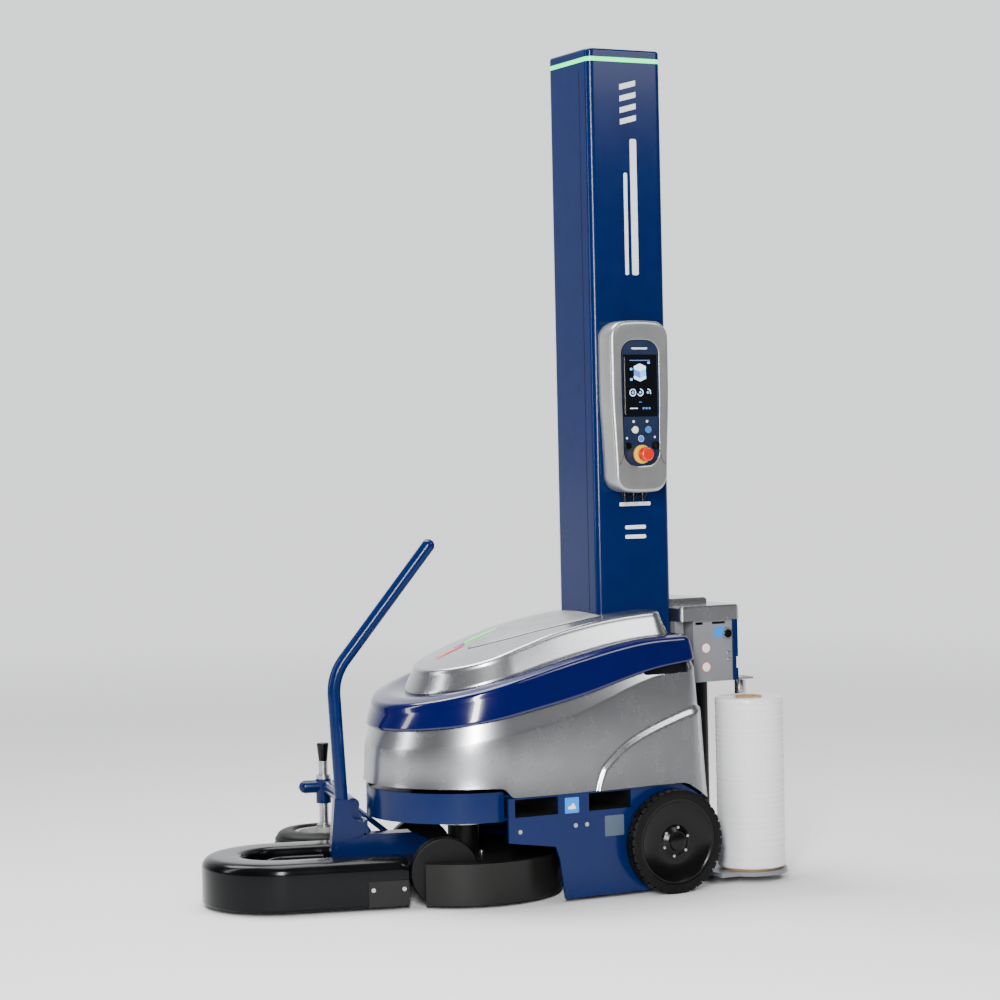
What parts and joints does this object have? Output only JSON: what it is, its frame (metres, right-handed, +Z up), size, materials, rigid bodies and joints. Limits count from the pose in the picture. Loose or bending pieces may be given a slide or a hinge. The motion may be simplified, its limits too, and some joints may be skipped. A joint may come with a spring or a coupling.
{
  "type": "self-driving pallet wrapping robot",
  "caption": "Battery pallet wrapping robot: steered front turret with bumper, tiller and feeler wheel, hooded chassis, mast with panel, and film carriage with roll.",
  "frame": {"origin": "middle of the machine's footprint, on the floor", "axes": "+X from the front bumper to the film roll at the rear, +Y to the machine's right, the pallet side, +Z up"},
  "size_m": [1.6619, 1.0696, 2.443],
  "materials": {
    "blue_paint": "satin powder coat",
    "blue_gloss": "gloss painted plastic cover",
    "silver_cover": "metallic silver painted plastic",
    "dark_grey": "textured dark grey plastic",
    "black_plastic": "moulded black plastic",
    "black_paint": "satin black powder coat",
    "rubber": "black rubber",
    "soft_foam": "soft integral-skin foam",
    "steel": "bright zinc-plated steel",
    "chrome": "polished roller",
    "light": "lit translucent diffuser",
    "screen": "display glass",
    "yellow": "yellow plastic",
    "red": "red plastic",
    "white": "white plastic",
    "blue_key": "blue plastic",
    "film": "wound clear stretch film",
    "card": "cardboard core and plate",
    "panel_grey": "grey sheet metal",
    "battery": "battery case",
    "roller_rubber": "film roller rubber"
  },
  "bodies": {
    "chassis": {"chassis_frame": "blue_paint", "side_plate_left": "blue_paint", "side_plate_right": "blue_paint", "fork_pockets": "black_paint", "slewing_ring": "steel", "lower_hood": "silver_cover", "band_cover": "blue_gloss", "upper_cover": "silver_cover", "top_inlay": "dark_grey", "status_lights": "light", "mast_column": "blue_paint", "beacon_ring": "light", "mast_cap": "blue_paint", "lift_gearmotor": "steel", "lift_belt": "rubber", "panel_housing": "silver_cover", "panel_faceplate": "dark_grey", "panel_screen": "screen", "estop_collar": "yellow", "axle_bearings": "steel", "drive_gearmotor": "steel", "drive_belt": "rubber", "batteries": "battery", "control_box": "panel_grey", "frame_screws": "steel"},
    "turret": {"turret_deck": "black_paint", "turret_skirt": "black_paint", "bumper": "soft_foam", "tiller_bracket": "blue_paint", "turret_bolts": "steel", "feeler_arm": "blue_paint"},
    "front_wheel_left": {"front_wheel_left": "rubber"},
    "front_wheel_right": {"front_wheel_right": "rubber"},
    "tiller": {"tiller": "blue_paint"},
    "feeler_post": {"feeler_post": "steel", "feeler_knob": "black_plastic"},
    "feeler_wheel": {"feeler_rim": "panel_grey", "feeler_tyre": "rubber"},
    "rear_wheel_left": {"rear_tyre_left": "rubber", "rear_disc_left": "black_plastic"},
    "rear_wheel_right": {"rear_tyre_right": "rubber", "rear_disc_right": "black_plastic"},
    "motor_pulley": {"motor_pulley": "steel"},
    "lift_pulley_drive": {"lift_pulley_drive": "steel"},
    "lift_pulley_top": {"lift_pulley_top": "steel"},
    "estop_knob": {"estop_knob": "red"},
    "button_white": {"button_white": "white"},
    "button_blue": {"button_blue": "blue_key"},
    "button_black": {"button_black": "black_plastic"},
    "key_switch": {"key_switch": "black_plastic"},
    "carriage": {"carriage_frame": "panel_grey", "carriage_cover": "silver_cover", "carriage_side_panel": "panel_grey", "carriage_edge_plate": "blue_paint"},
    "release_button": {"release_button": "black_plastic"},
    "film_roll": {"roll_turntable": "card", "film_roll": "film"},
    "slow_roller": {"prestretch_roller_slow": "roller_rubber"},
    "fast_roller": {"prestretch_roller_fast": "roller_rubber"},
    "idle_roller": {"idle_roller": "chrome"}
  },
  "joints": [
    {"name": "steering", "type": "hinge", "parent": "chassis", "child": "turret", "pos_m": [-0.09403, -0.1678, 0.242], "axis": [0, 0, 1], "range_deg": [-45, 75]},
    {"name": "front_wheel_left_spin", "type": "hinge", "parent": "turret", "child": "front_wheel_left", "pos_m": [-0.23852, -0.33614, 0.097], "axis": [0.2588, 0.9659, 0], "continuous": true},
    {"name": "front_wheel_right_spin", "type": "hinge", "parent": "turret", "child": "front_wheel_right", "pos_m": [-0.135, 0.05023, 0.097], "axis": [0.2588, 0.9659, 0], "continuous": true},
    {"name": "tiller_tilt", "type": "hinge", "parent": "turret", "child": "tiller", "pos_m": [-0.45142, -0.07204, 0.147], "axis": [-0.2588, -0.9659, 0], "range_deg": [0, 55]},
    {"name": "feeler_height", "type": "slide", "parent": "turret", "child": "feeler_post", "axis": [0, 0, 1], "range_m": [0, 0.05]},
    {"name": "feeler_spin", "type": "hinge", "parent": "feeler_post", "child": "feeler_wheel", "pos_m": [-0.29435, 0.3828, 0.048], "axis": [0, 0, 1], "continuous": true},
    {"name": "rear_wheel_left_spin", "type": "hinge", "parent": "chassis", "child": "rear_wheel_left", "pos_m": [0.40697, -0.1678, 0.148], "axis": [0, 1, 0], "continuous": true},
    {"name": "rear_wheel_right_spin", "type": "hinge", "parent": "chassis", "child": "rear_wheel_right", "pos_m": [0.40697, -0.1678, 0.148], "axis": [0, 1, 0], "continuous": true},
    {"name": "motor_pulley_spin", "type": "hinge", "parent": "chassis", "child": "motor_pulley", "pos_m": [0.24197, -0.1678, 0.148], "axis": [0, 1, 0], "continuous": true},
    {"name": "carriage_lift", "type": "slide", "parent": "chassis", "child": "carriage", "axis": [0, 0, 1], "range_m": [0, 1.55]},
    {"name": "lift_pulley_drive_spin", "type": "hinge", "parent": "chassis", "child": "lift_pulley_drive", "pos_m": [0.43947, -0.1678, 0.372], "axis": [0, 1, 0], "continuous": true},
    {"name": "lift_pulley_top_spin", "type": "hinge", "parent": "chassis", "child": "lift_pulley_top", "pos_m": [0.43947, -0.1678, 2.345], "axis": [0, 1, 0], "continuous": true},
    {"name": "estop_press", "type": "slide", "parent": "chassis", "child": "estop_knob", "axis": [0, 1, 0], "range_m": [0, 0.005], "stiffness_N_per_m": 800},
    {"name": "button_white_press", "type": "slide", "parent": "chassis", "child": "button_white", "axis": [0, 1, 0], "range_m": [0, 0.003], "stiffness_N_per_m": 400},
    {"name": "button_blue_press", "type": "slide", "parent": "chassis", "child": "button_blue", "axis": [0, 1, 0], "range_m": [0, 0.003], "stiffness_N_per_m": 400},
    {"name": "button_black_press", "type": "slide", "parent": "chassis", "child": "button_black", "axis": [0, 1, 0], "range_m": [0, 0.003], "stiffness_N_per_m": 400},
    {"name": "key_turn", "type": "hinge", "parent": "chassis", "child": "key_switch", "pos_m": [0.44597, -0.3853, 1.279], "axis": [0, -1, 0], "range_deg": [-45, 45]},
    {"name": "release_press", "type": "slide", "parent": "carriage", "child": "release_button", "axis": [0, 1, 0], "range_m": [0, 0.003], "stiffness_N_per_m": 400},
    {"name": "roll_spin", "type": "hinge", "parent": "carriage", "child": "film_roll", "pos_m": [0.72797, -0.4178, 0.032], "axis": [0, 0, 1], "continuous": true},
    {"name": "slow_roller_spin", "type": "hinge", "parent": "carriage", "child": "slow_roller", "pos_m": [0.68097, -0.1878, 0.032], "axis": [0, 0, 1], "continuous": true},
    {"name": "fast_roller_spin", "type": "hinge", "parent": "carriage", "child": "fast_roller", "pos_m": [0.68097, -0.1033, 0.032], "axis": [0, 0, 1], "continuous": true},
    {"name": "idle_roller_spin", "type": "hinge", "parent": "carriage", "child": "idle_roller", "pos_m": [0.78197, -0.2858, 0.032], "axis": [0, 0, 1], "continuous": true}
  ],
  "couplings": [
    {"joint": "motor_pulley_spin", "follows": "rear_wheel_left_spin", "ratio": 2},
    {"joint": "lift_pulley_drive_spin", "follows": "carriage_lift", "rad_per_m": -33.333},
    {"joint": "lift_pulley_top_spin", "follows": "carriage_lift", "rad_per_m": -33.333},
    {"joint": "fast_roller_spin", "follows": "slow_roller_spin", "ratio": -1.6}
  ]
}
